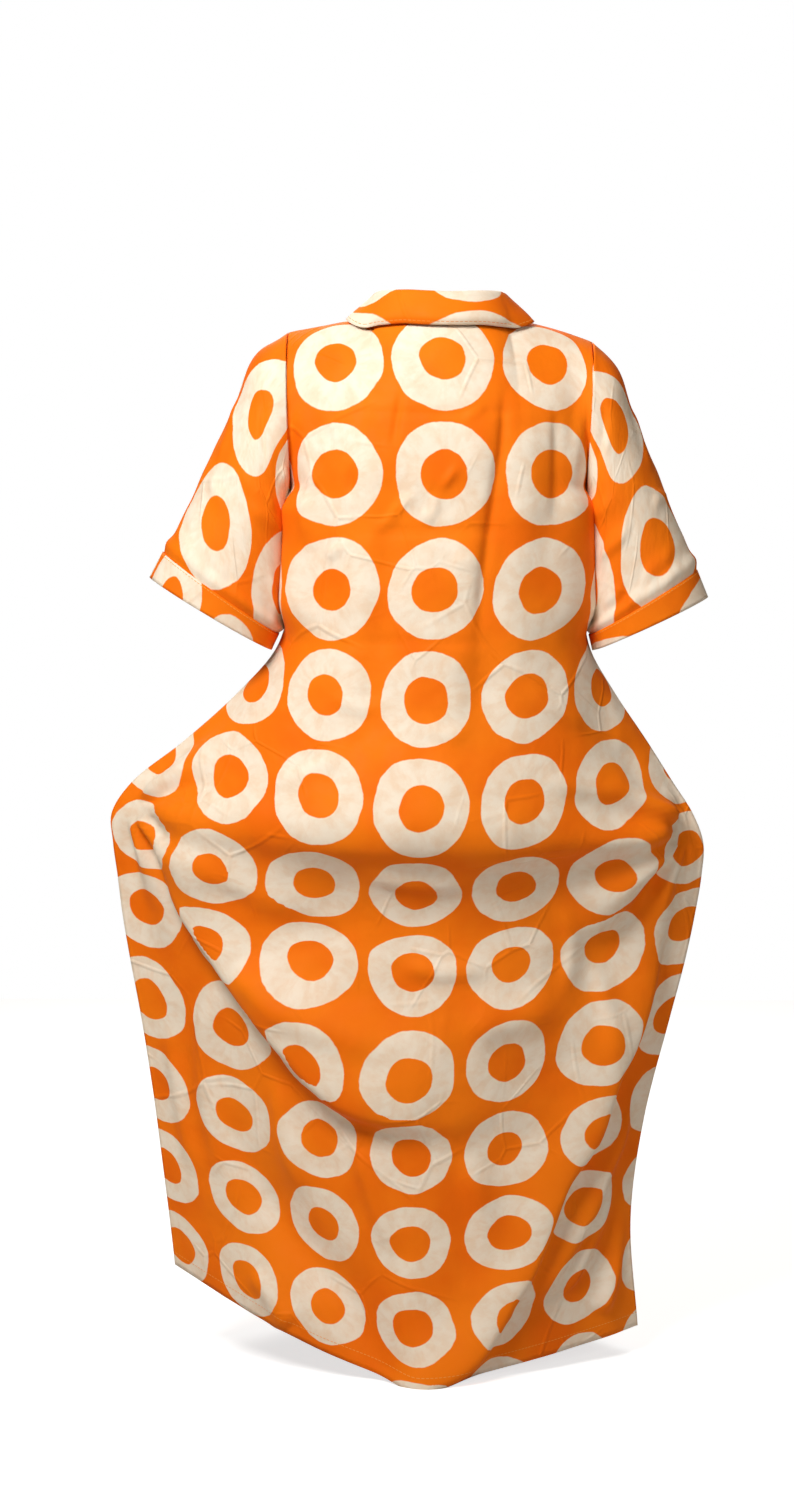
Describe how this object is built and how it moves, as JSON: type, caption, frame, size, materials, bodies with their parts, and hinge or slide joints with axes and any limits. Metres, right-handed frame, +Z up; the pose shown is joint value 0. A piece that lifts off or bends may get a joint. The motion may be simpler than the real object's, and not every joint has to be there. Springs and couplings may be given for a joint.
{
  "type": "shirt-collared kaftan robe",
  "caption": "Long hollow robe in ring-printed cotton: shirt collar, V neck, half sleeves with turned-up cuffs, side seams held out and a full skirt to the floor.",
  "frame": {"origin": "the middle of the neck opening, level with the points where the shoulder seams meet it: there the robe hangs from its wearer's shoulders", "axes": "+Z up, the front of the robe faces -Y, and the wearer's left is +X"},
  "size_m": [0.8068, 0.4375, 1.4408],
  "materials": {
    "printed_cotton": "smooth woven cotton with a soft sheen, orange with large cream rings"
  },
  "bodies": {
    "root": {"back": "printed_cotton", "front": "printed_cotton", "sleeve_left": "printed_cotton", "sleeve_right": "printed_cotton", "cuff_left": "printed_cotton", "cuff_right": "printed_cotton", "collar": "printed_cotton"}
  },
  "joints": []
}
